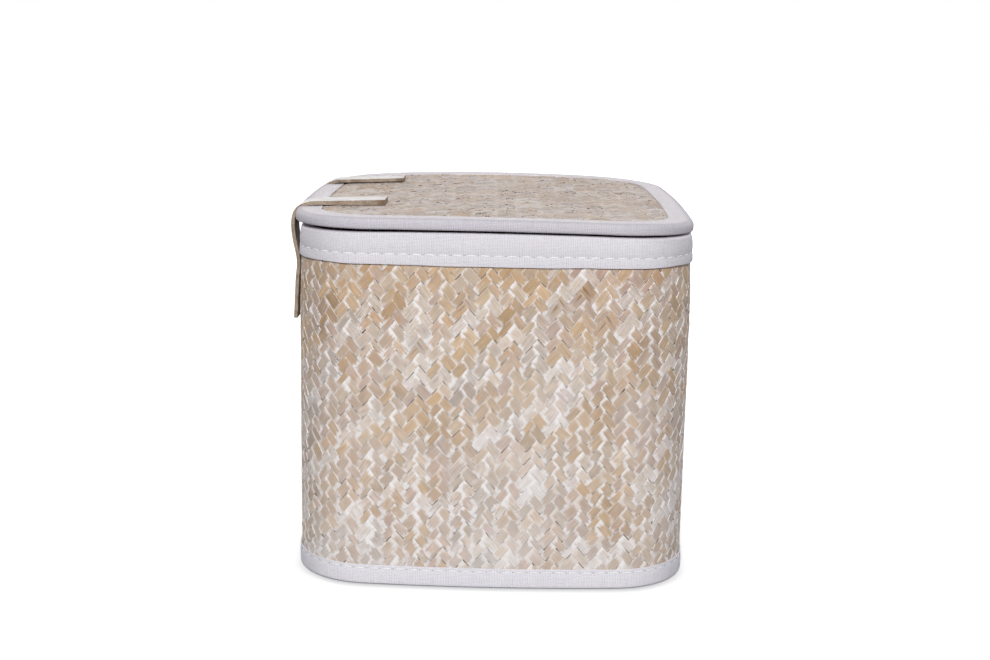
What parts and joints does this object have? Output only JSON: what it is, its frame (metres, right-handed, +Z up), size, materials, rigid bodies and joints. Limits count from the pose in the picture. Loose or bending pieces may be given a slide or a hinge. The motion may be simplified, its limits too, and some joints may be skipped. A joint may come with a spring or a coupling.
{
  "type": "lidded woven basket",
  "caption": "Rounded rectangular basket of woven leaf strips, bound with cotton tape, with a flat lid on leather strap hinges.",
  "frame": {"origin": "on the surface that the basket stands on, under the middle of its walls", "axes": "+Z up, +Y along the longer side, -X towards the strap hinges"},
  "size_m": [0.2158, 0.245, 0.194],
  "materials": {
    "leaf_mat": "matte, whitewashed",
    "lining_mat": "matte",
    "card": "matte",
    "cotton_tape": "matte",
    "cotton_thread": "matte",
    "strap_leather": "matte, whitewashed"
  },
  "bodies": {
    "basket": {"outer_mat": "leaf_mat", "wall_card": "card", "inner_mat": "lining_mat", "rim_tape": "cotton_tape", "rim_thread_outer": "cotton_thread", "rim_thread_inner": "cotton_thread", "base_mat": "leaf_mat", "base_card": "card", "base_lining": "lining_mat", "foot_tape": "cotton_tape", "foot_thread_outer": "cotton_thread", "foot_thread_under": "cotton_thread", "near_strap_wall_end": "strap_leather", "far_strap_wall_end": "strap_leather"},
    "lid": {"lid_mat": "leaf_mat", "lid_card": "card", "lid_lining": "lining_mat", "lid_tape": "cotton_tape", "lid_thread_top": "cotton_thread", "lid_thread_under": "cotton_thread", "near_strap_lid_end": "strap_leather", "near_strap_bend": "strap_leather", "far_strap_lid_end": "strap_leather", "far_strap_bend": "strap_leather"}
  },
  "joints": [
    {"name": "lid_hinge", "type": "hinge", "parent": "basket", "child": "lid", "pos_m": [-0.1086, 0, 0.1828], "axis": [0, -1, 0], "range_deg": [0, 110], "deforming": ["near_strap_bend", "far_strap_bend"]}
  ]
}
